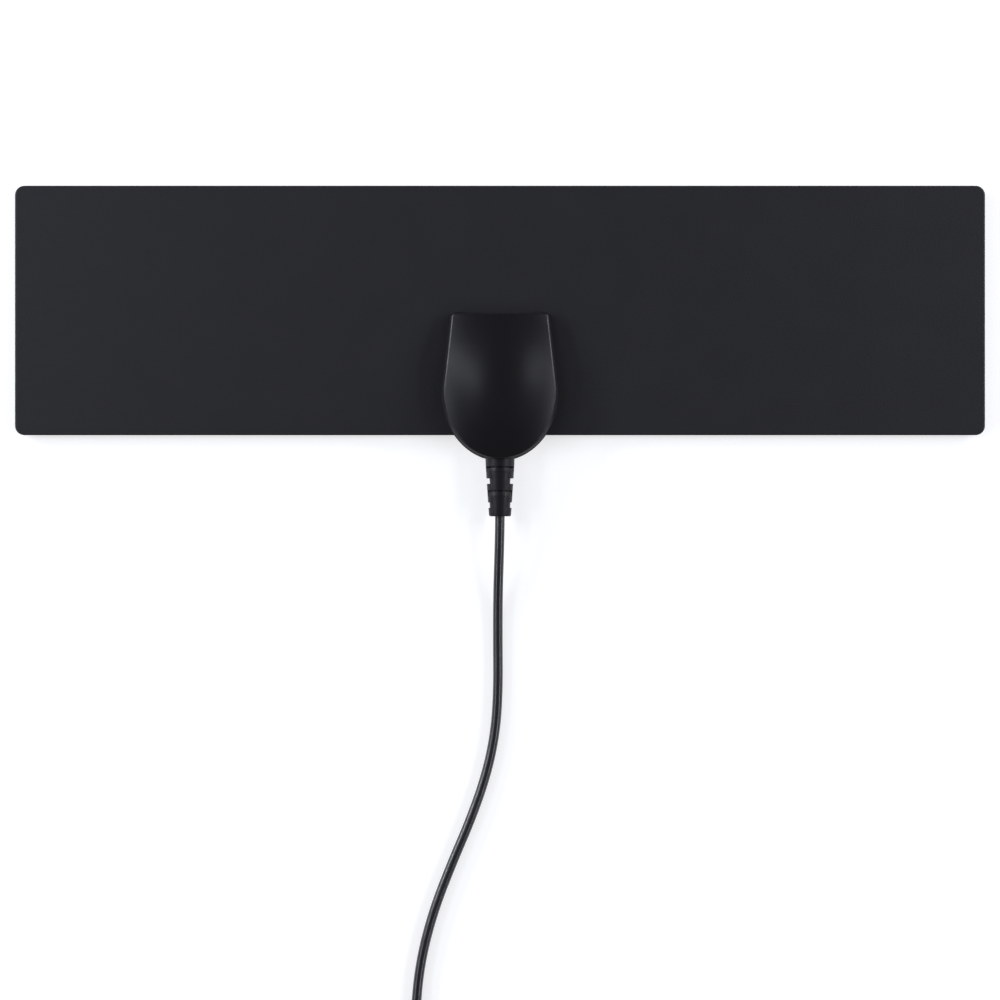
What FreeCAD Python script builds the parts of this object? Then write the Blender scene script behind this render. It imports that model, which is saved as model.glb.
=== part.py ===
"""Flat indoor television aerial, lying on its back.

A thin laminated panel holds two foil dipole arms. A moulded housing is clamped over the panel's
lower edge and joins the arms to a coaxial lead through a small matching transformer. The lead
leaves through a slotted strain relief. Its spare length is a tied coil that ends in an aerial plug.

Sizes are in millimetres. +X runs along the panel, +Y up its face and +Z out of it. The origin is
on the surface that the aerial lies on, under the middle of the aerial without its lead.
"""
import FreeCAD, Part
import math
import os

Vector = FreeCAD.Vector
X_AXIS = Vector(1, 0, 0)
Y_AXIS = Vector(0, 1, 0)
Z_AXIS = Vector(0, 0, 1)

# Panel
panel_length = 350.0
panel_height = 90.0
panel_corner = 3.4
panel_edge_round = 0.55
front_sheet_thickness = 0.9
back_sheet_thickness = 0.9

# Foil elements between the two sheets
foil_thickness = 0.15
foil_clearance = 0.2
foil_corner = 2.0
element_margin = 7.0
element_root_rise = 12.0
element_root_drop = 3.0
element_flare_gap = 3.0
tongue_half_width = 3.0

# Housing outline, from its flat top just under the panel's centre line to its round lower end
hub_top_drop = 0.5
hub_length = 53.8
hub_top_width = 35.8
hub_width = 42.2
hub_widest_drop = 29.4
hub_corner = 2.0

# Front cover
front_depth = 11.5
wall = 1.6
side_draft = 0.9
rim_round = 1.3
dome_radius_across = 50.0
dome_radius_along = 102.0

# Rear cover
rear_depth = 2.4
rear_floor = 1.3
rear_draft = 0.4
rear_bevel = 0.7

# Screws and their bosses
boss_radius = 2.5
boss_inset = 6.0
boss_rib = 1.2
boss_rib_lift = 1.0
upper_boss_drop = 13.5
lower_boss_drop = 37.5
pad_radius = 3.2
screw_radius = 1.0
screw_length = 7.0
screw_head_radius = 1.9
screw_head_height = 1.0
screw_recess = 0.6
screw_recess_width = 0.45
counterbore_depth = 1.1
pilot_end_gap = 0.8

# Matching board and what it carries
board_thickness = 1.2
board_length = 27.0
board_gap = 0.6
board_corner = 1.0
eyelet_radius = 1.25
eyelet_bore = 0.8
eyelet_flange_radius = 2.2
eyelet_flange = 0.4
eyelet_inset = 3.1
ferrite_drop = 13.0
ferrite_length = 5.0
ferrite_height = 4.2
ferrite_hole_spacing = 3.2
ferrite_hole_radius = 1.0
wire_radius = 0.18
wire_spacing = 0.45
winding_reach = 0.5
element_turns = 2
cable_turns = 1
chip_width = 1.25
chip_length = 2.0
chip_height = 0.8
chip_offset = 5.8
chip_drop = 7.0

# Strain relief
relief_root_radius = 5.27
relief_tip_radius = 3.98
relief_length = 19.9
relief_core_radius = 3.78
relief_end_bevel = 0.5
relief_tuck = 1.5
relief_gap = 0.1
slot_first = 1.9
slot_pitch = 4.33
slot_width = 1.95
slot_count = 4
slot_web_half = 3.2
flange_lip = 0.8
flange_thickness = 1.5

# Coaxial cable and its stripped end
cable_diameter = 3.5
dielectric_radius = 1.05
conductor_radius = 0.35
braid_tail_radius = 0.3
jacket_inside = 1.0
dielectric_gap = 3.5
braid_pad_offset = 4.5
braid_straight = 4.0
pad_inset = 1.0
pad_length = 2.0

# Coil of the put-away length
coil_mean_radius = 19.2
coil_columns = 3
coil_layers = 4
coil_layer_pitch = 3.3
coil_chamfer = 2.0
coil_x = -8.0
coil_y = -266.0
tie_width = 4.0
tie_thickness = 0.5
tie_pinch = 0.9
tie_tail = 12.0

# Aerial plug, 9.5 mm coaxial type
plug_x = 27.0
plug_y = -287.1
grip_radius = 6.0
grip_nose_radius = 2.9
grip_nose_length = 8.0
grip_length = 25.0
grip_edge_bevel = 0.7
grip_groove_count = 5
grip_groove_pitch = 2.4
grip_groove_width = 1.2
grip_groove_depth = 0.5
sleeve_radius = 4.75
sleeve_wall = 0.4
sleeve_length = 9.5
sleeve_embedded = 5.0
sleeve_root_step = 0.2
sleeve_tip_chamfer = 0.3
insulator_length = 6.5
pin_radius = 1.2
pin_tip_chamfer = 0.4

# Clearances, and how far a cutter reaches past what it cuts
fit_gap = 0.15
hole_gap = 0.2
slip_gap = 0.05
overlap = 1.0

# The most of a wall that an edge's rounding takes, and of a run that a bend takes
edge_share = 0.9
arc_share = 0.45

# How a swept section turns a sharp corner
mitred_corners = 1

# Heights
panel_back_z = rear_depth
panel_front_z = panel_back_z + back_sheet_thickness + front_sheet_thickness
crest_z = panel_front_z + front_depth
board_top_z = panel_front_z + board_thickness

# Places along Y, from the panel's centre line
reach_below = hub_top_drop + hub_length + relief_gap + relief_length
centre_y = (reach_below - panel_height / 2) / 2
panel_bottom_y = centre_y - panel_height / 2
hub_top_y = centre_y - hub_top_drop
hub_end_y = hub_top_y - hub_length
widest_y = hub_top_y - hub_widest_drop
relief_y = hub_end_y - relief_gap
relief_end_y = relief_y - relief_length
board_top_y = hub_top_y - wall - side_draft - board_gap
board_end_y = board_top_y - board_length
ferrite_y = board_top_y - ferrite_drop

# The strain relief's flange fills the clear height inside the housing's lower end
cavity_end_y = hub_end_y + wall + side_draft
cavity_roof_z = crest_z - dome_radius_along + math.sqrt(
    (dome_radius_along - wall) ** 2 - (cavity_end_y - widest_y) ** 2)
cable_z = (rear_floor + cavity_roof_z) / 2
flange_radius = (cavity_roof_z - rear_floor) / 2 - hole_gap
neck_radius = flange_radius - flange_lip
cable_radius = cable_diameter / 2

# Route of the lead from the strain relief to the coil, and of its last stretch to the plug
lead_route = [
    Vector(0.0, relief_end_y, cable_z),
    Vector(-0.25, -72.0, 6.0),
    Vector(-0.75, -88.0, 2.8),
    Vector(-0.8, -104.5, cable_radius),
    Vector(-0.66, -121.0, cable_radius),
    Vector(-1.5, -136.5, cable_radius),
    Vector(-4.6, -152.0, cable_radius),
    Vector(-10.3, -168.5, cable_radius),
    Vector(-17.4, -185.0, cable_radius),
    Vector(-24.0, -202.0, cable_radius),
    Vector(-28.7, -220.0, cable_radius),
    Vector(-30.6, -238.0, cable_radius),
    Vector(-30.3, -256.0, cable_radius),
]
tail_route = [
    Vector(-6.0, -286.6, 11.4),
    Vector(7.5, -287.3, 10.2),
    Vector(19.5, plug_y, grip_radius),
    Vector(plug_x, plug_y, grip_radius),
]


def bar(radius, start, end):
    """A round bar between two points."""
    return Part.makeCylinder(radius, (end - start).Length, start, end - start)


def block(x, y, z):
    """A box between three pairs of limits."""
    return Part.makeBox(x[1] - x[0], y[1] - y[0], z[1] - z[0], Vector(x[0], y[0], z[0]))


def upright_edges(shape):
    """The edges that run straight along Z."""
    return [edge for edge in shape.Edges if edge.BoundBox.XLength + edge.BoundBox.YLength < slip_gap]


def corner_arc(before, corner, after, radius):
    """Start, middle and end of the arc that rounds a corner."""
    back = (before - corner).normalize()
    ahead = (after - corner).normalize()
    half_angle = back.getAngle(ahead) / 2
    reach = radius / math.tan(half_angle)
    middle = (back + ahead).normalize() * (radius / math.sin(half_angle) - radius)
    return corner + back * reach, corner + middle, corner + ahead * reach


def route_wire(points, name):
    """Straight runs joined by tangent arcs, each as large as its two runs allow."""
    edges = []
    radii = []
    start = points[0]
    for before, corner, after in zip(points, points[1:], points[2:]):
        turn = (corner - before).getAngle(after - corner)
        run = min((corner - before).Length, (after - corner).Length)
        radius = arc_share * run / math.tan(turn / 2)
        first, middle, last = corner_arc(before, corner, after, radius)
        edges.append(Part.LineSegment(start, first).toShape())
        edges.append(Part.Arc(first, middle, last).toShape())
        radii.append(round(radius, 1))
        start = last
    edges.append(Part.LineSegment(start, points[-1]).toShape())
    print(name, "radii", radii)
    return Part.Wire(edges)


def tube(points, radius, name):
    """A round wire or cable along a route."""
    path = route_wire(points, name)
    ring = Part.Wire(Part.makeCircle(radius, points[0], points[1] - points[0]))
    solid = path.makePipeShell([ring], True, True)
    print(name, "volume share", round(solid.Volume / (math.pi * radius ** 2 * path.Length), 4))
    return solid


def side_angle(half_top, half_width, rise, drop):
    """Angle on the round end where the straight side from the top corner touches it."""
    across = half_top / half_width
    along = rise / drop
    return math.atan2(along, across) - math.acos(1 / math.hypot(across, along))


def round_end(half_width, drop, z, start, end):
    """The housing's elliptical lower end, between two angles from +X."""
    centre = Vector(0, widest_y, z)
    if drop > half_width:
        curve = Part.Ellipse(centre + Y_AXIS * drop, centre - X_AXIS * half_width, centre)
        start -= math.pi / 2
        end -= math.pi / 2
    else:
        curve = Part.Ellipse(centre + X_AXIS * half_width, centre + Y_AXIS * drop, centre)
    return Part.ArcOfEllipse(curve, start, end).toShape()


def hub_outline(inset, z):
    """The housing's shield outline, drawn in by inset, at height z."""
    half_top = hub_top_width / 2 - inset
    half_width = hub_width / 2 - inset
    rise = hub_widest_drop - inset
    drop = hub_length - hub_widest_drop - inset
    angle = side_angle(half_top, half_width, rise, drop)
    side_x = half_width * math.cos(angle)
    side_y = widest_y + drop * math.sin(angle)
    right_side = Vector(side_x, side_y, z)
    left_side = Vector(-side_x, side_y, z)
    right_top = Vector(half_top, hub_top_y - inset, z)
    left_top = Vector(-half_top, hub_top_y - inset, z)
    right = corner_arc(right_side, right_top, left_top, hub_corner)
    left = corner_arc(right_top, left_top, left_side, hub_corner)
    return Part.Wire([
        Part.LineSegment(right_side, right[0]).toShape(),
        Part.Arc(*right).toShape(),
        Part.LineSegment(right[2], left[0]).toShape(),
        Part.Arc(*left).toShape(),
        Part.LineSegment(left[2], left_side).toShape(),
        round_end(half_width, drop, z, math.pi - angle, 2 * math.pi + angle),
    ])


def hub_half_width(y):
    """Half the housing's width at its parting line."""
    drop = hub_length - hub_widest_drop
    angle = side_angle(hub_top_width / 2, hub_width / 2, hub_widest_drop, drop)
    side_x = hub_width / 2 * math.cos(angle)
    side_y = widest_y + drop * math.sin(angle)
    if y < side_y:
        return hub_width / 2 * math.sqrt(1 - ((y - widest_y) / drop) ** 2)
    return side_x + (hub_top_width / 2 - side_x) * (y - side_y) / (hub_top_y - side_y)


def hub_prism(inset):
    """The drafted block inside the housing's side walls, from the parting line to the crest."""
    base = hub_outline(inset, panel_back_z)
    top = hub_outline(inset + side_draft, crest_z)
    return Part.makeLoft([base, top], True, True)


def dome(inset):
    """Everything under the housing's top, drawn in by inset, with its crest over the widest place."""
    half = hub_width / 2 + overlap
    radius = dome_radius_across - inset
    top_z = crest_z - inset
    edge_z = top_z - radius + math.sqrt(radius ** 2 - half ** 2)
    right = Vector(half, widest_y, edge_z)
    left = Vector(-half, widest_y, edge_z)
    arch = Part.Arc(right, Vector(0, widest_y, top_z), left).toShape()
    base = Part.makePolygon([left, Vector(-half, widest_y, 0), Vector(half, widest_y, 0), right])
    section = Part.Face(Part.Wire([arch] + base.Edges))
    hinge = Vector(0, widest_y, crest_z - dome_radius_along)
    reach = max(hub_widest_drop, hub_length - hub_widest_drop) + overlap
    sweep = math.degrees(math.asin(reach / (dome_radius_along - crest_z)))
    section.rotate(hinge, X_AXIS, -sweep)
    return section.revolve(hinge, X_AXIS, 2 * sweep)


def boss_places():
    """Centres of the screw bosses, seen from the front."""
    places = []
    for drop in (upper_boss_drop, lower_boss_drop):
        y = hub_top_y - drop
        x = hub_half_width(y) - boss_inset
        places += [(x, y), (-x, y)]
    return places


def board_half_width():
    """Half the board's width, clear of the bosses on both sides of it."""
    return min(abs(x) for x, y in boss_places()) - boss_radius - hole_gap


def eyelet_places():
    """Centres of the feed eyelets, right and left."""
    x = board_half_width() - eyelet_inset
    y = board_top_y - eyelet_inset
    return [(x, y), (-x, y)]


def panel_plate(bottom_z, thickness):
    """A sheet of the panel, with round corners and the holes that the housing needs."""
    plate = block((-panel_length / 2, panel_length / 2),
                  (panel_bottom_y, panel_bottom_y + panel_height),
                  (bottom_z, bottom_z + thickness))
    plate = plate.makeFillet(panel_corner, upright_edges(plate))
    holes = [(x, y, boss_radius + hole_gap) for x, y in boss_places()]
    holes += [(x, y, eyelet_radius + slip_gap) for x, y in eyelet_places()]
    for x, y, radius in holes:
        plate = plate.cut(Part.makeCylinder(radius, thickness, Vector(x, y, bottom_z)))
    return plate


def front_sheet():
    """The front sheet, with its outer front edge rounded over."""
    plate = panel_plate(panel_back_z + back_sheet_thickness, front_sheet_thickness)
    front = max(plate.Faces, key=lambda face: face.CenterOfMass.z)
    radius = min(panel_edge_round, front_sheet_thickness * edge_share)
    return plate.makeFillet(radius, front.OuterWire.Edges)


def element_blank(side):
    """One dipole arm without its hole: a flared blade with a tongue down to its eyelet."""
    base_z = panel_back_z + back_sheet_thickness - foil_thickness
    eyelet_x, eyelet_y = eyelet_places()[0]
    inner_x = eyelet_x - tongue_half_width
    step_x = eyelet_x + tongue_half_width
    flare_x = hub_width / 2 + element_flare_gap
    end_x = panel_length / 2 - element_margin
    end_half = panel_height / 2 - element_margin
    tongue_y = eyelet_y - tongue_half_width
    root_y = centre_y - element_root_drop
    outline = [(inner_x, tongue_y), (step_x, tongue_y), (step_x, root_y), (flare_x, root_y),
               (end_x, centre_y - end_half), (end_x, centre_y + end_half),
               (inner_x, centre_y + element_root_rise)]
    points = [Vector(side * x, y, base_z) for x, y in outline]
    blank = Part.Face(Part.makePolygon(points + points[:1])).extrude(Z_AXIS * foil_thickness)
    return blank.makeFillet(foil_corner, upright_edges(blank))


def element(side):
    """One dipole arm of foil, in its pocket in the back sheet."""
    x, y = eyelet_places()[0]
    hole = Part.makeCylinder(eyelet_radius + slip_gap, panel_front_z, Vector(side * x, y, 0))
    return element_blank(side).cut(hole)


def back_sheet():
    """The back sheet, with a shallow pocket for each foil arm."""
    plate = panel_plate(panel_back_z, back_sheet_thickness)
    for side in (1, -1):
        floor = min(element_blank(side).Faces, key=lambda face: face.CenterOfMass.z)
        pocket = floor.makeOffset2D(foil_clearance)
        plate = plate.cut(pocket.extrude(Z_AXIS * foil_thickness))
    return plate


def cable_outlet():
    """The keyhole in the housing's lower wall: a round hole, open down to the parting line."""
    radius = neck_radius + fit_gap
    inner_y = cavity_end_y + overlap
    hole = bar(radius, Vector(0, hub_end_y - overlap, cable_z), Vector(0, inner_y, cable_z))
    slot = block((-radius, radius), (hub_end_y - overlap, inner_y), (panel_back_z - overlap, cable_z))
    return hole.fuse(slot)


def front_cover():
    """The domed front shell, with screw bosses that pass through the panel."""
    body = hub_prism(0).common(dome(0))
    top = max(body.Faces, key=lambda face: face.CenterOfMass.z)
    body = body.makeFillet(rim_round, top.Edges)
    cavity = hub_prism(wall).common(dome(wall))
    shell = body.cut(cavity)
    panel_slot = block((-hub_width, hub_width),
                       (panel_bottom_y - fit_gap, hub_top_y + overlap),
                       (panel_back_z - overlap, panel_front_z))
    shell = shell.cut(panel_slot).cut(cable_outlet())
    for x, y in boss_places():
        boss = Part.makeCylinder(boss_radius, crest_z - panel_back_z, Vector(x, y, panel_back_z))
        outer_x = math.copysign(hub_width / 2, x)
        rib = block(sorted((x, outer_x)), (y - boss_rib / 2, y + boss_rib / 2),
                    (panel_front_z + boss_rib_lift, crest_z))
        shell = shell.fuse(boss.fuse(rib).common(body))
    for x, y in boss_places():
        depth = screw_length - (panel_back_z - counterbore_depth) + pilot_end_gap
        shell = shell.cut(Part.makeCylinder(screw_radius + slip_gap, depth, Vector(x, y, panel_back_z)))
    return shell.removeSplitter()


def rear_body(inset):
    """The outside of the rear cover as a solid block, drawn in by inset."""
    back = hub_outline(inset + rear_draft + rear_bevel, 0)
    edge = hub_outline(inset + rear_draft, rear_bevel)
    rim = hub_outline(inset, panel_back_z)
    return Part.makeLoft([back, edge, rim], True, True)


def rear_cover():
    """The shallow rear tray, with screw pads and the lower half of the cable outlet."""
    body = rear_body(0)
    inside = Part.Face(hub_outline(wall, rear_floor)).extrude(Z_AXIS * (panel_back_z - rear_floor))
    tray = body.cut(inside)
    for x, y in boss_places():
        pad = Part.makeCylinder(pad_radius, panel_back_z - rear_floor, Vector(x, y, rear_floor))
        tray = tray.fuse(pad.common(body))
    seat_half = neck_radius
    seat = block((-seat_half, seat_half), (hub_end_y, cavity_end_y), (panel_back_z, cable_z))
    seat = seat.common(hub_prism(0)).cut(hub_prism(wall))
    neck_hole = bar(neck_radius + fit_gap, Vector(0, hub_end_y - overlap, cable_z),
                    Vector(0, cavity_end_y + overlap, cable_z))
    tray = tray.fuse(seat).cut(neck_hole)
    for x, y in boss_places():
        tray = tray.cut(Part.makeCylinder(screw_head_radius + hole_gap, counterbore_depth, Vector(x, y, 0)))
        tray = tray.cut(Part.makeCylinder(screw_radius + hole_gap, panel_back_z, Vector(x, y, 0)))
    return tray.removeSplitter()


def cover_screw(x, y):
    """A pan-head screw with a cross recess, driven in from the back."""
    seat = Vector(x, y, counterbore_depth)
    head_z = counterbore_depth - screw_head_height
    head = Part.makeCylinder(screw_head_radius, screw_head_height, Vector(x, y, head_z))
    shank = Part.makeCylinder(screw_radius, screw_length, seat)
    reach = screw_head_radius / 2
    half = screw_recess_width / 2
    depth = (head_z, head_z + screw_recess)
    cross = block((x - reach, x + reach), (y - half, y + half), depth)
    cross = cross.fuse(block((x - half, x + half), (y - reach, y + reach), depth))
    return head.fuse(shank).cut(cross).removeSplitter()


def matching_board():
    """The circuit board, clamped on the panel's front by the eyelets."""
    half = board_half_width()
    board = block((-half, half), (board_end_y, board_top_y), (panel_front_z, board_top_z))
    board = board.makeFillet(board_corner, upright_edges(board))
    for x, y in eyelet_places():
        hole = Part.makeCylinder(eyelet_radius + slip_gap, board_thickness, Vector(x, y, panel_front_z))
        board = board.cut(hole)
    return board


def feed_eyelet(x, y):
    """A hollow eyelet that clamps the board to the panel and touches the foil."""
    low_z = panel_back_z - eyelet_flange
    high_z = board_top_z + eyelet_flange
    eyelet = Part.makeCylinder(eyelet_radius, high_z - low_z, Vector(x, y, low_z))
    for z in (low_z, board_top_z):
        eyelet = eyelet.fuse(Part.makeCylinder(eyelet_flange_radius, eyelet_flange, Vector(x, y, z)))
    bore = Part.makeCylinder(eyelet_bore, high_z - low_z, Vector(x, y, low_z))
    return eyelet.cut(bore).removeSplitter()


def ferrite_core():
    """A two-hole transformer core lying on the board, holes along Y."""
    back_y = ferrite_y + ferrite_length / 2
    front_y = ferrite_y - ferrite_length / 2
    middle_z = board_top_z + ferrite_height / 2
    half = ferrite_hole_spacing / 2
    core = block((-half, half), (front_y, back_y), (board_top_z, board_top_z + ferrite_height))
    for x in (half, -half):
        core = core.fuse(bar(ferrite_height / 2, Vector(x, front_y, middle_z), Vector(x, back_y, middle_z)))
    for x in (half, -half):
        core = core.cut(bar(ferrite_hole_radius, Vector(x, front_y, middle_z), Vector(x, back_y, middle_z)))
    return core.removeSplitter()


def winding(turns, leg_side):
    """One wire through both holes of the core, turn under turn, with two legs down to the board."""
    half = ferrite_hole_spacing / 2
    middle_z = board_top_z + ferrite_height / 2
    reach = ferrite_length / 2 + winding_reach
    far_y = ferrite_y - leg_side * reach
    crossing_y = ferrite_y + leg_side * (reach + wire_spacing)
    leg_y = ferrite_y + leg_side * (reach + 2 * wire_spacing)
    points = [Vector(half, leg_y, board_top_z)]
    for turn in range(turns):
        z = middle_z + (turns - 1 - 2 * turn) * wire_spacing
        start_y = leg_y if turn == 0 else crossing_y
        end_y = leg_y if turn == turns - 1 else crossing_y
        points += [Vector(half, start_y, z), Vector(half, far_y, z),
                   Vector(-half, far_y, z), Vector(-half, end_y, z)]
    points.append(Vector(-half, leg_y, board_top_z))
    ring = Part.Wire(Part.makeCircle(wire_radius, points[0], Z_AXIS))
    return Part.makePolygon(points).makePipeShell([ring], True, True, mitred_corners)


def chip_capacitor(side):
    """A small chip part beside the lead's solder pads."""
    middle_x = side * chip_offset
    middle_y = ferrite_y - chip_drop
    return block((middle_x - chip_width / 2, middle_x + chip_width / 2),
                 (middle_y - chip_length / 2, middle_y + chip_length / 2),
                 (board_top_z, board_top_z + chip_height))


def flange_y():
    """Where the strain relief's flange meets the inside of the housing's lower wall."""
    inset = wall + side_draft
    half_width = hub_width / 2 - inset
    drop = hub_length - hub_widest_drop - inset
    return widest_y - drop * math.sqrt(1 - (flange_radius / half_width) ** 2) + fit_gap


def relief_slot(index):
    """One pair of slots round the core, in turn from front and back and from the two sides."""
    start_y = relief_y - slot_first - index * slot_pitch
    start = Vector(0, start_y, cable_z)
    end = Vector(0, start_y - slot_width, cable_z)
    ring = bar(relief_root_radius + overlap, start, end).cut(bar(relief_core_radius, start, end))
    reach = relief_root_radius + 2 * overlap
    along_y = (start_y - slot_width - overlap, start_y + overlap)
    if index % 2:
        web = block((-slot_web_half, slot_web_half), along_y, (cable_z - reach, cable_z + reach))
    else:
        web = block((-reach, reach), along_y, (cable_z - slot_web_half, cable_z + slot_web_half))
    return ring.cut(web)


def turned(profile):
    """A solid turned about the cable's axis, from pairs of place along Y and radius."""
    points = [Vector(0, y, cable_z + radius) for y, radius in profile]
    section = Part.Face(Part.makePolygon(points + points[:1]))
    return section.revolve(Vector(0, 0, cable_z), Y_AXIS, 360)


def strain_relief():
    """The tapered sleeve against the housing's wall, with a neck and an inner flange that it traps."""
    bore = cable_radius + slip_gap
    sleeve = turned([(relief_y + relief_tuck, bore), (relief_y + relief_tuck, relief_root_radius),
                     (relief_y, relief_root_radius), (relief_end_y + relief_end_bevel, relief_tip_radius),
                     (relief_end_y, relief_tip_radius - relief_end_bevel), (relief_end_y, bore)])
    for index in range(slot_count):
        sleeve = sleeve.cut(relief_slot(index))
    sleeve = sleeve.cut(hub_prism(-relief_gap)).cut(rear_body(-relief_gap))
    inner_y = flange_y()
    neck = turned([(inner_y + flange_thickness, bore), (inner_y + flange_thickness, flange_radius),
                   (inner_y, flange_radius), (inner_y, neck_radius),
                   (relief_y, neck_radius), (relief_y, bore)])
    return sleeve.fuse(neck).removeSplitter()


def jacket_end_y():
    """Where the lead's jacket stops inside the housing."""
    return flange_y() + flange_thickness + jacket_inside


def coax_lead():
    """The lead from inside the housing, out through the strain relief and along to its coil."""
    inside = bar(cable_radius, Vector(0, jacket_end_y(), cable_z), lead_route[0])
    outside = tube(lead_route, cable_radius, "coax_lead")
    return inside.fuse(outside).cut(coil_ring()).removeSplitter()


def coax_dielectric():
    """The lead's insulation, bare of jacket, up to the board."""
    end = Vector(0, board_end_y - dielectric_gap, cable_z)
    return bar(dielectric_radius, Vector(0, jacket_end_y(), cable_z), end)


def coax_conductor():
    """The centre conductor, from the insulation down on to its pad on the board."""
    rest_z = board_top_z + conductor_radius
    points = [Vector(0, board_end_y - dielectric_gap, cable_z),
              Vector(0, board_end_y - dielectric_gap / 2, cable_z),
              Vector(0, board_end_y + pad_inset, rest_z),
              Vector(0, board_end_y + pad_inset + pad_length, rest_z)]
    return tube(points, conductor_radius, "coax_conductor")


def coax_braid_tail():
    """The braid, twisted into a tail that bends aside to its own pad."""
    start_x = (cable_radius + dielectric_radius) / 2
    rest_z = board_top_z + braid_tail_radius
    start_y = jacket_end_y()
    points = [Vector(start_x, start_y, cable_z),
              Vector(start_x, start_y + braid_straight, cable_z),
              Vector(braid_pad_offset, board_end_y - braid_straight, cable_z),
              Vector(braid_pad_offset, board_end_y + pad_inset, rest_z),
              Vector(braid_pad_offset, board_end_y + pad_inset + pad_length, rest_z)]
    return tube(points, braid_tail_radius, "coax_braid_tail")


def coil_section(inset):
    """Half width and height limits of the coil's bundle, drawn in by inset."""
    half = coil_columns * cable_diameter / 2 - inset
    height = cable_diameter + (coil_layers - 1) * coil_layer_pitch
    return half, inset, height - inset


def coil_ring():
    """The outer shape of the coiled bundle, before the tie pinches it."""
    half, low, high = coil_section(0)
    cut = coil_chamfer
    corners = [(-half + cut, low), (half - cut, low), (half, low + cut), (half, high - cut),
               (half - cut, high), (-half + cut, high), (-half, high - cut), (-half, low + cut)]
    points = [Vector(coil_x + coil_mean_radius + x, coil_y, z) for x, z in corners]
    section = Part.Face(Part.makePolygon(points + points[:1]))
    return section.revolve(Vector(coil_x, coil_y, 0), Z_AXIS, 360)


def tie_box(inset, width):
    """A box across the bundle at the tie, drawn in by inset from the bundle's outside."""
    half, low, high = coil_section(inset)
    middle = coil_x + coil_mean_radius
    return block((middle - half, middle + half), (coil_y - width / 2, coil_y + width / 2), (low, high))


def coax_coil():
    """The put-away turns as one solid, with a waist where the tie pulls them together."""
    width = tie_width + 2 * hole_gap
    waist = tie_box(-overlap, width).cut(tie_box(tie_pinch, width))
    return coil_ring().cut(waist)


def cable_tie():
    """A flat twist tie: a loop round the bundle, with its two ends held together."""
    inner = tie_pinch - slip_gap
    loop = tie_box(inner - tie_thickness, tie_width).cut(tie_box(inner, tie_width))
    half, low, high = coil_section(inner - tie_thickness)
    start_x = coil_x + coil_mean_radius + half
    middle_z = (low + high) / 2
    tail = block((start_x - tie_thickness, start_x + tie_tail),
                 (coil_y - tie_width / 2, coil_y + tie_width / 2),
                 (middle_z - tie_thickness, middle_z + tie_thickness))
    return loop.fuse(tail).removeSplitter()


def coax_tail():
    """The last of the lead, from the coil down to the plug."""
    return tube(tail_route, cable_radius, "coax_tail").cut(coil_ring())


def plug_point(along):
    """A point on the plug's axis, at a distance from its rear end."""
    return Vector(plug_x + along, plug_y, grip_radius)


def plug_grip():
    """The moulded grip: a tapered nose over the cable and a ribbed barrel round the sleeve."""
    sleeve_hole = sleeve_radius - sleeve_root_step + slip_gap
    hole_start = grip_length - sleeve_embedded
    profile = [(0, 0), (0, grip_nose_radius), (grip_nose_length, grip_radius),
               (grip_length - grip_edge_bevel, grip_radius), (grip_length, grip_radius - grip_edge_bevel),
               (grip_length, sleeve_hole), (hole_start, sleeve_hole), (hole_start, 0)]
    points = [plug_point(along) + Z_AXIS * radius for along, radius in profile]
    section = Part.Face(Part.makePolygon(points + points[:1]))
    grip = section.revolve(plug_point(0), X_AXIS, 360)
    first = (grip_nose_length + grip_length - (grip_groove_count - 1) * grip_groove_pitch) / 2
    for index in range(grip_groove_count):
        along = first + index * grip_groove_pitch
        start = plug_point(along - grip_groove_width / 2)
        end = plug_point(along + grip_groove_width / 2)
        ring = bar(grip_radius + overlap, start, end)
        grip = grip.cut(ring.cut(bar(grip_radius - grip_groove_depth, start, end)))
    return grip


def plug_sleeve():
    """The plug's outer contact: a metal sleeve with a narrower root set into the grip."""
    start = plug_point(grip_length - sleeve_embedded)
    shoulder = plug_point(grip_length)
    end = plug_point(grip_length + sleeve_length)
    sleeve = bar(sleeve_radius - sleeve_root_step, start, shoulder).fuse(bar(sleeve_radius, shoulder, end))
    sleeve = sleeve.cut(bar(sleeve_radius - sleeve_root_step - sleeve_wall, start, end))
    tip = [edge for edge in sleeve.Edges if edge.BoundBox.XMin > end.x - slip_gap
           and abs(edge.BoundBox.YLength - 2 * sleeve_radius) < slip_gap]
    return sleeve.makeChamfer(min(sleeve_tip_chamfer, sleeve_wall * edge_share), tip)


def plug_insulator():
    """The disc that holds the centre pin in the sleeve."""
    start = plug_point(grip_length - sleeve_embedded)
    end = plug_point(grip_length - sleeve_embedded + insulator_length)
    disc = bar(sleeve_radius - sleeve_root_step - sleeve_wall - slip_gap, start, end)
    return disc.cut(bar(pin_radius + slip_gap, start, end))


def plug_pin():
    """The plug's centre pin, level with the end of the sleeve."""
    start = plug_point(grip_length - sleeve_embedded)
    end = plug_point(grip_length + sleeve_length)
    pin = bar(pin_radius, start, end)
    tip = [edge for edge in pin.Edges if edge.BoundBox.XMin > end.x - slip_gap]
    return pin.makeChamfer(pin_tip_chamfer, tip)


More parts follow.
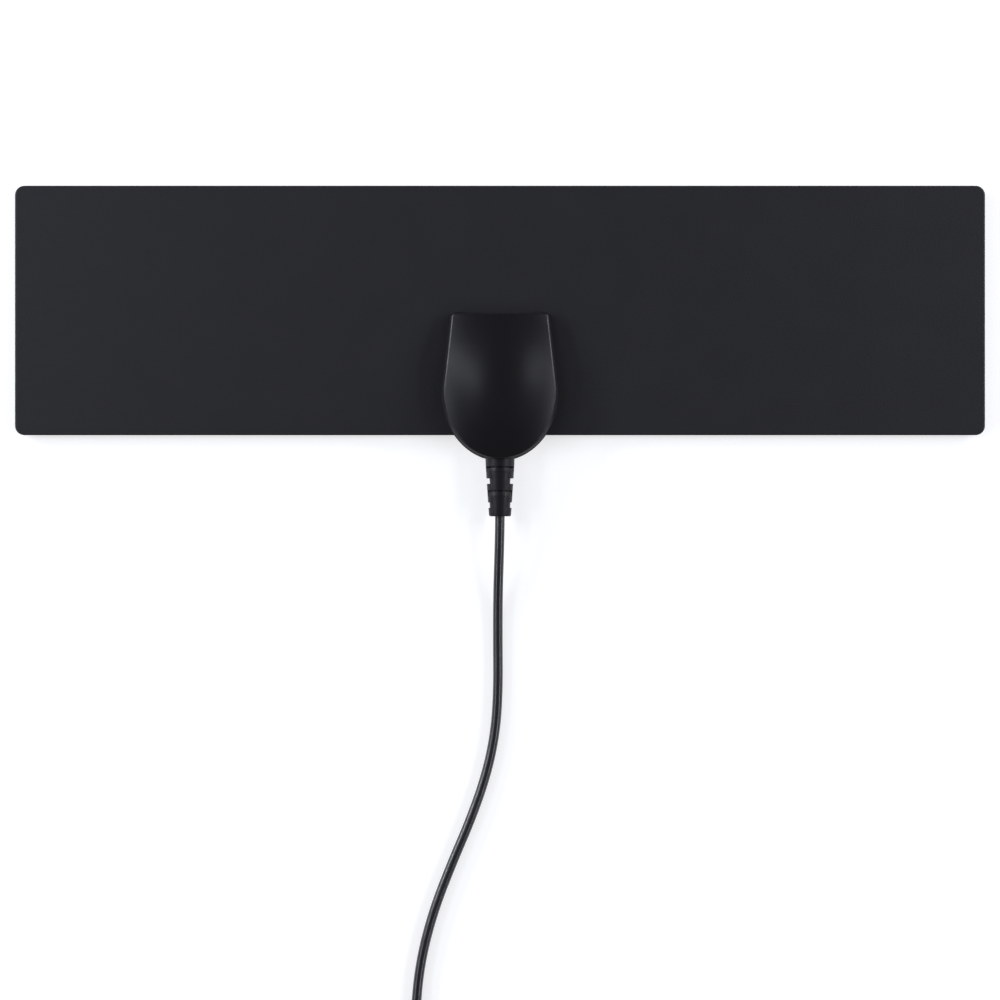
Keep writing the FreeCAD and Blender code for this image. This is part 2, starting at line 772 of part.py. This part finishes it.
pieces = {
    "front_sheet": front_sheet(),
    "back_sheet": back_sheet(),
    "left_element": element(-1),
    "right_element": element(1),
    "front_cover": front_cover(),
    "rear_cover": rear_cover(),
    "cover_screws": Part.makeCompound([cover_screw(x, y) for x, y in boss_places()]),
    "matching_board": matching_board(),
    "feed_eyelets": Part.makeCompound([feed_eyelet(x, y) for x, y in eyelet_places()]),
    "ferrite_core": ferrite_core(),
    "element_winding": winding(element_turns, 1),
    "cable_winding": winding(cable_turns, -1),
    "chip_capacitors": Part.makeCompound([chip_capacitor(side) for side in (1, -1)]),
    "strain_relief": strain_relief(),
    "coax_lead": coax_lead(),
    "coax_dielectric": coax_dielectric(),
    "coax_conductor": coax_conductor(),
    "coax_braid_tail": coax_braid_tail(),
    "coax_coil": coax_coil(),
    "cable_tie": cable_tie(),
    "coax_tail": coax_tail(),
    "plug_grip": plug_grip(),
    "plug_sleeve": plug_sleeve(),
    "plug_insulator": plug_insulator(),
    "plug_pin": plug_pin(),
}

os.makedirs("parts", exist_ok=True)
for name, shape in pieces.items():
    shape.exportStep("parts/" + name + ".step")
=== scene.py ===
"""Looks of a flat indoor television aerial: its finishes, its coiled lead and the studio.

Places and sizes are in metres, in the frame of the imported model: +X along the panel, +Y up its face
and +Z out of it. The aerial lies on its back on the floor.
"""
import math

import bmesh
import bpy
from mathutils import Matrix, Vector


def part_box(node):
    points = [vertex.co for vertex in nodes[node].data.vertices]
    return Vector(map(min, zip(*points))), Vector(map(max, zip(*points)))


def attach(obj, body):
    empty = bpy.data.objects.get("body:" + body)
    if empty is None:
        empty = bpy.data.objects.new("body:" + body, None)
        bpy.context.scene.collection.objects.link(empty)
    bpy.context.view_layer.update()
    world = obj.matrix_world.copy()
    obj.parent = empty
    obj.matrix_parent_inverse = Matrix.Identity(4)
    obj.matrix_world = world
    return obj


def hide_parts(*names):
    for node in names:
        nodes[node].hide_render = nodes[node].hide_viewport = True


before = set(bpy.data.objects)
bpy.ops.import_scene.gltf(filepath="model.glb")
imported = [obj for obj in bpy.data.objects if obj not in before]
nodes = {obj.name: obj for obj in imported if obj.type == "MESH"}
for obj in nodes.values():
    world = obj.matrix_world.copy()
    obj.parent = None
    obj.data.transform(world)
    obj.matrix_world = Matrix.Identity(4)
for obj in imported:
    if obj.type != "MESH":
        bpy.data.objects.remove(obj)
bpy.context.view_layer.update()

# Camera: straight over the aerial, with a long lens
view_width = 0.3607
view_centre_y = -0.05375
camera_distance = 1.5
sensor_width = 36.0

# Strain relief: a slotted sleeve on the housing's round lower end, with a neck and an inner flange
relief_low, relief_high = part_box("strain_relief")
relief_root_y = -0.03975
relief_root_radius = (relief_high[0] - relief_low[0]) / 2
relief_tip_radius = 0.00398
relief_core_radius = 0.00378
relief_neck_radius = 0.00419
relief_flange_radius = 0.00499
relief_flange = 0.0015
relief_tip_round = 0.0006
relief_gap = 0.0001
slot_first = 0.0019
slot_pitch = 0.00433
slot_width = 0.00195
slot_count = 4
slot_wall = 0.00006
slot_edge = 0.00012
slot_groove = 0.0005
slot_ramp = 0.4
front_slot_web = 0.3
side_slot_web = 0.65

# Housing wall that the strain relief is seated on
housing_low, housing_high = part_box("front_cover")
housing_widest_y = -0.01525
parting_z = 0.0024
front_draft = 0.0009
rear_draft = 0.0006

# Lead: diameter, real length, and its routes from the strain relief to the coil and on to the plug
cable_diameter = 0.0035
cable_radius = cable_diameter / 2
lead_exit = ((relief_low[0] + relief_high[0]) / 2, relief_low[1], (relief_low[2] + relief_high[2]) / 2)
hidden_start = 0.012
lead_route = [
    (-0.00025, -0.072, 0.006),
    (-0.00075, -0.088, 0.0028),
    (-0.0008, -0.1045, 0.00175),
    (-0.00066, -0.121, 0.00175),
    (-0.0015, -0.1365, 0.00175),
    (-0.0046, -0.152, 0.00175),
    (-0.0103, -0.1685, 0.00175),
    (-0.0174, -0.185, 0.00175),
    (-0.024, -0.202, 0.00175),
    (-0.0287, -0.22, 0.00175),
    (-0.0306, -0.238, 0.00175),
    (-0.0303, -0.256, 0.00175),
]
tail_route = [
    (-0.006, -0.2866, 0.0114),
    (0.0075, -0.2873, 0.0102),
    (0.0195, -0.2871, 0.006),
    (0.027, -0.2871, 0.006),
]

# Coil of the put-away length: its place, its turns, where each shifts to the next, and the pinch at its tie
coil_x = -0.008
coil_y = -0.266
coil_radius = 0.0192
coil_layers = 4
coil_layer_pitch = 0.0033
steps_per_turn = 24
last_steps = 6
shift_from = 0.5
shift_to = 0.9
pinch = 0.11
pinch_angle = math.radians(14)
coil_middle_z = cable_radius + (coil_layers - 1) * coil_layer_pitch / 2

# Twist tie: its strip and wire, its loop round the bundle and its two twisted ends
tie_width = 0.004
tie_strip = 0.00012
tie_wire = 0.0003
tie_gap = 0.00005
tie_bend = 0.0006
tie_end = 0.0105
tie_twist = math.radians(540)
tie_splay = 0.012
tie_splay_from = 0.65

# Fineness of the modelled pieces
crease_angle = math.radians(40)
cable_section_steps = 8
cable_curve_steps = 6
relief_steps = 96
round_steps = 4
tie_loop_steps = 72
tie_bend_steps = 4
tie_end_steps = 48
tie_section_steps = 14

# Finishes: patches of roughness on plastics, rough upright walls, and marks on metals
patch_scale = 60.0
patch_detail = 3.0
patch_roughness_spread = 0.05
wall_roughness = 1.0
panel_wall_slopes = (0.5, 0.95)
housing_wall_slopes = (0.1, 0.4)
mark_detail = 4.0
mark_roughness = 0.6
mark_roughness_spread = 0.06

# Light: the lamps' colour, and shares of white on the walls and, past their top, on the ceiling
light_colour = (0.88, 0.91, 1.0)
wall_light = 0.35
wall_top = 0.4
ceiling_light = 0.12

# Floor: its reach, its own grey, and what is added to that where it is seen
floor_half_width = 3.0
floor_grey = 0.5
floor_roughness = 0.9
floor_lift = 0.62


def smooth(value):
    """Eases from 0 to 1."""
    value = min(max(value, 0.0), 1.0)
    return value * value * (3 - 2 * value)


def coil_turns():
    """Radius and height of each turn: three and two side by side in turn, in, out and upwards."""
    turns = []
    for layer in range(coil_layers):
        columns = (-0.5, 0.5) if layer % 2 else (1, 0, -1)
        height = cable_radius + layer * coil_layer_pitch
        turns += [(coil_radius + column * cable_diameter, height) for column in columns]
    return turns


def coil_point(angle, radius, height):
    """A point of the coil, drawn in to the bundle's middle near the tie."""
    from_tie = (angle + math.pi) % (2 * math.pi) - math.pi
    drawn_in = 1 - pinch * math.exp(-(from_tie / pinch_angle) ** 2)
    radius = coil_radius + (radius - coil_radius) * drawn_in
    height = coil_middle_z + (height - coil_middle_z) * drawn_in
    return (coil_x + radius * math.cos(angle), coil_y + radius * math.sin(angle), height)


def coil_points():
    """The turns of the coil, from where the lead meets it to where its tail leaves it."""
    turns = coil_turns()
    points = []
    for index, (radius, height) in enumerate(turns + turns[-1:]):
        last = index == len(turns)
        next_radius, next_height = turns[min(index + 1, len(turns) - 1)]
        for step in range(last_steps if last else steps_per_turn):
            share = step / steps_per_turn
            shift = smooth((share - shift_from) / (shift_to - shift_from))
            points.append(coil_point(math.pi + 2 * math.pi * share,
                                     radius + (next_radius - radius) * shift,
                                     height + (next_height - height) * shift))
    return points


def make_cord():
    """The lead as one curve: out of the strain relief, along the floor, round its coil and to the plug."""
    start = (lead_exit[0], lead_exit[1] + hidden_start, lead_exit[2])
    points = [start, lead_exit] + lead_route + coil_points() + tail_route
    curve = bpy.data.curves.new("coax_cable", "CURVE")
    curve.dimensions = "3D"
    curve.bevel_depth = cable_radius
    curve.bevel_resolution = cable_section_steps
    curve.use_fill_caps = True
    curve.resolution_u = cable_curve_steps
    spline = curve.splines.new("NURBS")
    spline.points.add(len(points) - 1)
    for place, point in zip(spline.points, points):
        place.co = (*point, 1.0)
    spline.order_u = 3
    spline.use_endpoint_u = True
    cord = bpy.data.objects.new("coax_cable", curve)
    bpy.context.collection.objects.link(cord)
    return cord


def skin(name, rows, closed):
    """A piece through rows of points, each a ring. The last row joins the first, or both get end faces."""
    surface = bmesh.new()
    grid = [[surface.verts.new(point) for point in row] for row in rows]
    following = grid[1:] + grid[:1] if closed else grid[1:]
    for row, next_row in zip(grid, following):
        for index, corner in enumerate(row):
            surface.faces.new((row[index - 1], corner, next_row[index], next_row[index - 1]))
    if not closed:
        surface.faces.new(grid[0])
        surface.faces.new(grid[-1])
    bmesh.ops.recalc_face_normals(surface, faces=surface.faces)
    mesh = bpy.data.meshes.new(name)
    surface.to_mesh(mesh)
    surface.free()
    mesh.shade_smooth()
    mesh.set_sharp_from_angle(angle=crease_angle)
    piece = bpy.data.objects.new(name, mesh)
    bpy.context.collection.objects.link(piece)
    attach(piece, "root")
    return piece


def housing_end_y(x, z):
    """Where the housing's drafted, round lower wall is, at a place across it."""
    if z > parting_z:
        inset = front_draft * (z - parting_z) / (housing_high[2] - parting_z)
    else:
        inset = rear_draft * (parting_z - z) / parting_z
    half_width = (housing_high[0] - housing_low[0]) / 2 - inset
    drop = housing_widest_y - housing_low[1] - inset
    return housing_widest_y - drop * math.sqrt(1 - (x / half_width) ** 2)


def around():
    """Angles round the lead's axis, from +X."""
    return [2 * math.pi * step / relief_steps for step in range(relief_steps)]


def relief_ring(y, radius):
    """A plain ring of the strain relief."""
    return [(lead_exit[0] + radius * math.cos(angle), y, lead_exit[2] + radius * math.sin(angle))
            for angle in around()]


def seated_ring(radius):
    """A ring of the strain relief that follows the housing's wall."""
    return [(x, housing_end_y(x, z) - relief_gap, z) for x, _, z in relief_ring(0, radius)]


def sleeve_radius(y):
    """The tapered sleeve's radius."""
    share = (relief_root_y - y) / (relief_root_y - relief_low[1])
    return relief_root_radius + (relief_tip_radius - relief_root_radius) * share


def slot_rings(index):
    """Rings of one pair of slots: by turns at front and back, with a ramp, and square at the two sides."""
    start = relief_root_y - slot_first - index * slot_pitch
    end = start - slot_width
    groove_end = start - slot_groove
    full = sleeve_radius(start) - relief_core_radius
    if index % 2:
        open_angles = [abs(math.cos(angle)) > side_slot_web for angle in around()]
        floor_steps = [(end + slot_wall, full)]
    else:
        open_angles = [abs(math.sin(angle)) > front_slot_web for angle in around()]
        floor_steps = [(groove_end, full), (groove_end - slot_wall, full * slot_ramp)]
    steps = [(start + slot_edge, 0), (start, slot_edge), (start - slot_wall, full)] + floor_steps
    steps += [(end, slot_edge), (end - slot_edge, 0)]
    rings = []
    for y, depth in steps:
        outer = relief_ring(y, sleeve_radius(y))
        inner = relief_ring(y, sleeve_radius(y) - depth)
        rings.append([low if is_open else high for low, high, is_open in zip(inner, outer, open_angles)])
    return rings


def make_relief():
    """The strain relief: down its outside to the rounded tip, back up its bore, and over flange and neck."""
    bore = cable_radius + relief_gap / 2
    tip_y = relief_low[1]
    flange_end = relief_high[1]
    flange_start = flange_end - relief_flange
    rings = [seated_ring(relief_root_radius)]
    for index in range(slot_count):
        rings += slot_rings(index)
    for step in range(round_steps + 1):
        turn = math.pi / 2 * step / round_steps
        rings.append(relief_ring(tip_y + relief_tip_round * (1 - math.sin(turn)),
                                 relief_tip_radius - relief_tip_round * (1 - math.cos(turn))))
    rings += [relief_ring(tip_y, bore), relief_ring(flange_end, bore),
              relief_ring(flange_end, relief_flange_radius), relief_ring(flange_start, relief_flange_radius),
              relief_ring(flange_start, relief_neck_radius), seated_ring(relief_neck_radius)]
    return skin("strain_relief_sleeve", rings, closed=True)


def tie_loop(turns):
    """The tie round the bundle, taut over its outermost turns."""
    reach = cable_radius + tie_gap
    loop = []
    for step in range(1, tie_loop_steps):
        angle = 2 * math.pi * step / tie_loop_steps
        out = Vector((math.cos(angle), 0, math.sin(angle)))
        outermost = max(turns, key=lambda turn: turn.dot(out))
        loop.append((outermost + out * reach, out))
    return loop


def tie_first_end(root):
    """One end of the tie, from its splayed tip, twisted about +X, to its bend up into the loop."""
    frames = []
    for step in range(tie_end_steps):
        along = tie_end * (1 - step / tie_end_steps)
        turn = tie_twist * smooth(along / tie_end)
        out = Vector((0, -math.sin(turn), math.cos(turn)))
        lift = tie_gap + tie_splay * max(along / tie_end - tie_splay_from, 0) ** 2
        frames.append((root + Vector((tie_bend + along, 0, 0)) + out * lift, out))
    bend_centre = root + Vector((tie_bend, 0, tie_gap + tie_bend))
    for step in range(tie_bend_steps + 1):
        angle = math.pi / 2 * step / tie_bend_steps
        out = Vector((math.sin(angle), 0, math.cos(angle)))
        frames.append((bend_centre - out * tie_bend, out))
    return frames


def half_turn(vector):
    """A vector after half a turn about +X."""
    return Vector((vector.x, -vector.y, -vector.z))


def tie_frames():
    """Places along the tie with its outer direction: in by one end, round the bundle, out by the other."""
    turns = [Vector(coil_point(0, radius, height)) for radius, height in coil_turns()]
    root = Vector((max(turn.x for turn in turns) + cable_radius + tie_gap, coil_y, coil_middle_z))
    first_end = tie_first_end(root)
    second_end = [(root + half_turn(place - root), half_turn(out)) for place, out in reversed(first_end)]
    return first_end + tie_loop(turns) + second_end


def make_tie():
    """The twist tie: a flat strip with a wire down its middle, closed at both ends."""
    frames = tie_frames()
    places = [place for place, out in frames]
    rows = []
    for index, (place, out) in enumerate(frames):
        along = places[min(index + 1, len(places) - 1)] - places[max(index - 1, 0)]
        across = along.cross(out).normalized()
        row = [place - across * tie_width / 2, place + across * tie_width / 2]
        for step in range(tie_section_steps + 1):
            side = tie_width * (0.5 - step / tie_section_steps)
            rise = tie_strip + tie_wire * math.exp(-(side / tie_wire) ** 2)
            row.append(place + across * side + out * rise)
        rows.append(row)
    return skin("twist_tie", rows, closed=False)


def principled(name, colour, roughness, specular=0.5, metallic=0.0):
    """A new material with a plain surface, and its node tree and shader."""
    material = bpy.data.materials.new(name)
    material.use_nodes = True
    shader = material.node_tree.nodes["Principled BSDF"]
    shader.inputs["Base Color"].default_value = (*colour, 1.0)
    shader.inputs["Roughness"].default_value = roughness
    shader.inputs["Specular IOR Level"].default_value = specular
    shader.inputs["Metallic"].default_value = metallic
    return material, material.node_tree, shader


def noise(tree, scale, detail=2.0, roughness=0.5):
    """A noise texture in the object's own coordinates, in cells per metre."""
    coordinates = tree.nodes.new("ShaderNodeTexCoord")
    texture = tree.nodes.new("ShaderNodeTexNoise")
    texture.inputs["Scale"].default_value = scale
    texture.inputs["Detail"].default_value = detail
    texture.inputs["Roughness"].default_value = roughness
    tree.links.new(coordinates.outputs["Object"], texture.inputs["Vector"])
    return texture


def add_bump(tree, shader, height, distance, strength):
    """Bumps the shader's surface by a height from 0 to 1."""
    bump = tree.nodes.new("ShaderNodeBump")
    bump.inputs["Distance"].default_value = distance
    bump.inputs["Strength"].default_value = strength
    tree.links.new(height, bump.inputs["Height"])
    tree.links.new(bump.outputs["Normal"], shader.inputs["Normal"])


def spread(tree, value, low, high):
    """A value from 0 to 1 spread between two limits."""
    limits = tree.nodes.new("ShaderNodeMapRange")
    limits.inputs["To Min"].default_value = low
    limits.inputs["To Max"].default_value = high
    tree.links.new(value, limits.inputs["Value"])
    return limits.outputs["Result"]


def plastic(name, colour, roughness, specular, grain, depth, strength):
    """Moulded plastic: grain cells of a size, with roughness that varies over the surface."""
    material, tree, shader = principled(name, colour, roughness, specular)
    fine = noise(tree, 1 / grain)
    patches = noise(tree, patch_scale, patch_detail)
    add_bump(tree, shader, fine.outputs["Fac"], depth, strength)
    varied = spread(tree, patches.outputs["Fac"],
                    roughness - patch_roughness_spread, roughness + patch_roughness_spread)
    tree.links.new(varied, shader.inputs["Roughness"])
    return material


def dull_walls(material, slopes):
    """Roughens walls: fully where the normal's Z is below the first slope, and not above the second."""
    tree = material.node_tree
    shader = tree.nodes["Principled BSDF"]
    coordinates = tree.nodes.new("ShaderNodeTexCoord")
    parts = tree.nodes.new("ShaderNodeSeparateXYZ")
    slope = tree.nodes.new("ShaderNodeMath")
    slope.operation = "ABSOLUTE"
    tree.links.new(coordinates.outputs["Normal"], parts.inputs["Vector"])
    tree.links.new(parts.outputs["Z"], slope.inputs[0])
    rough = spread(tree, slope.outputs["Value"], wall_roughness, 0.0)
    rough.node.inputs["From Min"].default_value = slopes[0]
    rough.node.inputs["From Max"].default_value = slopes[1]
    tree.links.new(shader.inputs["Roughness"].links[0].from_socket, rough.node.inputs["To Max"])
    tree.links.new(rough, shader.inputs["Roughness"])


def metal(name, colour, roughness, grain, depth, strength):
    """Bare metal with fine marks."""
    material, tree, shader = principled(name, colour, roughness, metallic=1.0)
    marks = noise(tree, 1 / grain, mark_detail, mark_roughness)
    add_bump(tree, shader, marks.outputs["Fac"], depth, strength)
    varied = spread(tree, marks.outputs["Fac"],
                    roughness - mark_roughness_spread, roughness + mark_roughness_spread)
    tree.links.new(varied, shader.inputs["Roughness"])
    return material


def dress(material, *names):
    """Gives CAD pieces a finish."""
    for name in names:
        slots = nodes[name].data.materials
        slots.clear()
        slots.append(material)


def softbox(name, location, width, height, power):
    """A rectangular studio light that looks at the frame's origin, with its power in watts."""
    lamp = bpy.data.lights.new(name, "AREA")
    lamp.color = light_colour
    lamp.shape = "RECTANGLE"
    lamp.size = width
    lamp.size_y = height
    lamp.energy = power
    thing = bpy.data.objects.new(name, lamp)
    thing.location = location
    thing.rotation_euler = (-thing.location).to_track_quat("-Z", "Y").to_euler()
    bpy.context.collection.objects.link(thing)


def seen_directly(tree):
    """1 for what the camera sees straight, in a mirror or through glass, and 0 for what only lights."""
    path = tree.nodes.new("ShaderNodeLightPath")
    total = path.outputs["Is Camera Ray"]
    for ray in ("Is Glossy Ray", "Is Transmission Ray"):
        either = tree.nodes.new("ShaderNodeMath")
        either.operation = "MAXIMUM"
        tree.links.new(total, either.inputs[0])
        tree.links.new(path.outputs[ray], either.inputs[1])
        total = either.outputs["Value"]
    return total


def make_floor():
    """A pale floor that shows as white and keeps a soft shadow."""
    half = floor_half_width
    corners = [(-half, -half, 0), (half, -half, 0), (half, half, 0), (-half, half, 0)]
    mesh = bpy.data.meshes.new("floor")
    mesh.from_pydata(corners, [], [(0, 1, 2, 3)])
    floor = bpy.data.objects.new("floor", mesh)
    bpy.context.collection.objects.link(floor)
    material, tree, shader = principled("floor_white", (floor_grey,) * 3, floor_roughness, specular=0.0)
    shader.inputs["Emission Color"].default_value = (1, 1, 1, 1)
    lift = tree.nodes.new("ShaderNodeMath")
    lift.operation = "MULTIPLY"
    lift.inputs[1].default_value = floor_lift
    tree.links.new(seen_directly(tree), lift.inputs[0])
    tree.links.new(lift.outputs["Value"], shader.inputs["Emission Strength"])
    mesh.materials.append(material)


def make_world():
    """Pale walls all round, under a dim ceiling."""
    world = bpy.data.worlds.new("studio")
    world.use_nodes = True
    bpy.context.scene.world = world
    tree = world.node_tree
    background = tree.nodes["Background"]
    background.inputs["Color"].default_value = (1, 1, 1, 1)
    direction = tree.nodes.new("ShaderNodeTexCoord")
    upward = tree.nodes.new("ShaderNodeSeparateXYZ")
    tree.links.new(direction.outputs["Generated"], upward.inputs["Vector"])
    strength = spread(tree, upward.outputs["Z"], wall_light, ceiling_light)
    strength.node.inputs["From Max"].default_value = wall_top
    tree.links.new(strength, background.inputs["Strength"])


def make_camera():
    """The camera straight over the aerial."""
    panel_front_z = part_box("front_sheet")[1][2]
    data = bpy.data.cameras.new("camera")
    data.sensor_width = sensor_width
    data.lens = sensor_width * camera_distance / view_width
    camera = bpy.data.objects.new("camera", data)
    camera.location = (0, view_centre_y, panel_front_z + camera_distance)
    bpy.context.collection.objects.link(camera)
    bpy.context.scene.camera = camera


bpy.context.scene.view_settings.view_transform = "Standard"
make_camera()
make_world()
make_floor()
softbox("left_light", (-0.67, 0.235, 1.0), width=0.22, height=0.75, power=2.15)
softbox("right_light", (0.6, 0.22, 1.0), width=0.2, height=0.35, power=0.88)
softbox("low_left_light", (-1.1, 0.5, 0.47), width=0.9, height=0.25, power=13.0)
softbox("low_right_light", (1.1, 0.5, 0.47), width=0.9, height=0.25, power=10.0)
softbox("lead_left_light", (-1.1, -0.22, 0.84), width=1.0, height=0.16, power=4.8)
softbox("lead_right_light", (1.1, -0.14, 0.84), width=1.16, height=0.16, power=6.4)

panel_plastic = plastic("panel_plastic", (0.0109, 0.0111, 0.0134), roughness=0.46, specular=0.3,
                        grain=0.0008, depth=0.00008, strength=0.6)
housing_plastic = plastic("housing_plastic", (0.0061, 0.006, 0.0074), roughness=0.30, specular=0.25,
                          grain=0.0003, depth=0.00001, strength=0.3)
dull_walls(panel_plastic, panel_wall_slopes)
dull_walls(housing_plastic, housing_wall_slopes)
relief_pvc = plastic("relief_pvc", (0.0069, 0.0066, 0.0084), roughness=0.42, specular=0.2,
                     grain=0.0005, depth=0.00001, strength=0.4)
cable_jacket = plastic("cable_jacket", (0.0105, 0.0105, 0.0127), roughness=0.26, specular=0.6,
                       grain=0.0006, depth=0.000005, strength=0.3)
tie_plastic = plastic("tie_plastic", (0.012, 0.012, 0.012), roughness=0.5, specular=0.4,
                      grain=0.0004, depth=0.00001, strength=0.4)
circuit_board = plastic("circuit_board", (0.03, 0.16, 0.07), roughness=0.4, specular=0.5,
                        grain=0.0004, depth=0.00001, strength=0.4)
ferrite = plastic("ferrite", (0.03, 0.03, 0.033), roughness=0.6, specular=0.5,
                  grain=0.0002, depth=0.00002, strength=0.5)
chip_ceramic = plastic("chip_ceramic", (0.5, 0.36, 0.22), roughness=0.35, specular=0.5,
                       grain=0.0002, depth=0.00001, strength=0.4)
white_polyethylene = plastic("white_polyethylene", (0.78, 0.78, 0.75), roughness=0.4, specular=0.5,
                             grain=0.0004, depth=0.00001, strength=0.4)
foil = metal("foil", (0.8, 0.8, 0.82), roughness=0.25,
             grain=0.002, depth=0.00002, strength=0.3)
eyelet_brass = metal("eyelet_brass", (0.75, 0.62, 0.35), roughness=0.25,
                     grain=0.0005, depth=0.00001, strength=0.3)
copper_wire = metal("copper_wire", (0.72, 0.34, 0.18), roughness=0.25,
                    grain=0.0005, depth=0.00001, strength=0.3)
screw_steel = metal("screw_steel", (0.5, 0.5, 0.52), roughness=0.3,
                    grain=0.0004, depth=0.00001, strength=0.3)
tinned_braid = metal("tinned_braid", (0.7, 0.7, 0.68), roughness=0.3,
                     grain=0.0002, depth=0.00003, strength=0.6)
plug_nickel = metal("plug_nickel", (0.72, 0.7, 0.66), roughness=0.16,
                    grain=0.0004, depth=0.000005, strength=0.3)

dress(panel_plastic, "front_sheet", "back_sheet")
dress(foil, "left_element", "right_element")
dress(housing_plastic, "front_cover", "rear_cover")
dress(screw_steel, "cover_screws")
dress(circuit_board, "matching_board")
dress(eyelet_brass, "feed_eyelets")
dress(ferrite, "ferrite_core")
dress(copper_wire, "element_winding", "cable_winding", "coax_conductor")
dress(chip_ceramic, "chip_capacitors")
dress(relief_pvc, "plug_grip")
dress(white_polyethylene, "coax_dielectric", "plug_insulator")
dress(tinned_braid, "coax_braid_tail")
dress(plug_nickel, "plug_sleeve", "plug_pin")

cord = make_cord()
cord.data.materials.append(cable_jacket)
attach(cord, "root")
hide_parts("coax_lead", "coax_coil", "coax_tail")
relief = make_relief()
relief.data.materials.append(relief_pvc)
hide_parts("strain_relief")
tie = make_tie()
tie.data.materials.append(tie_plastic)
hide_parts("cable_tie")
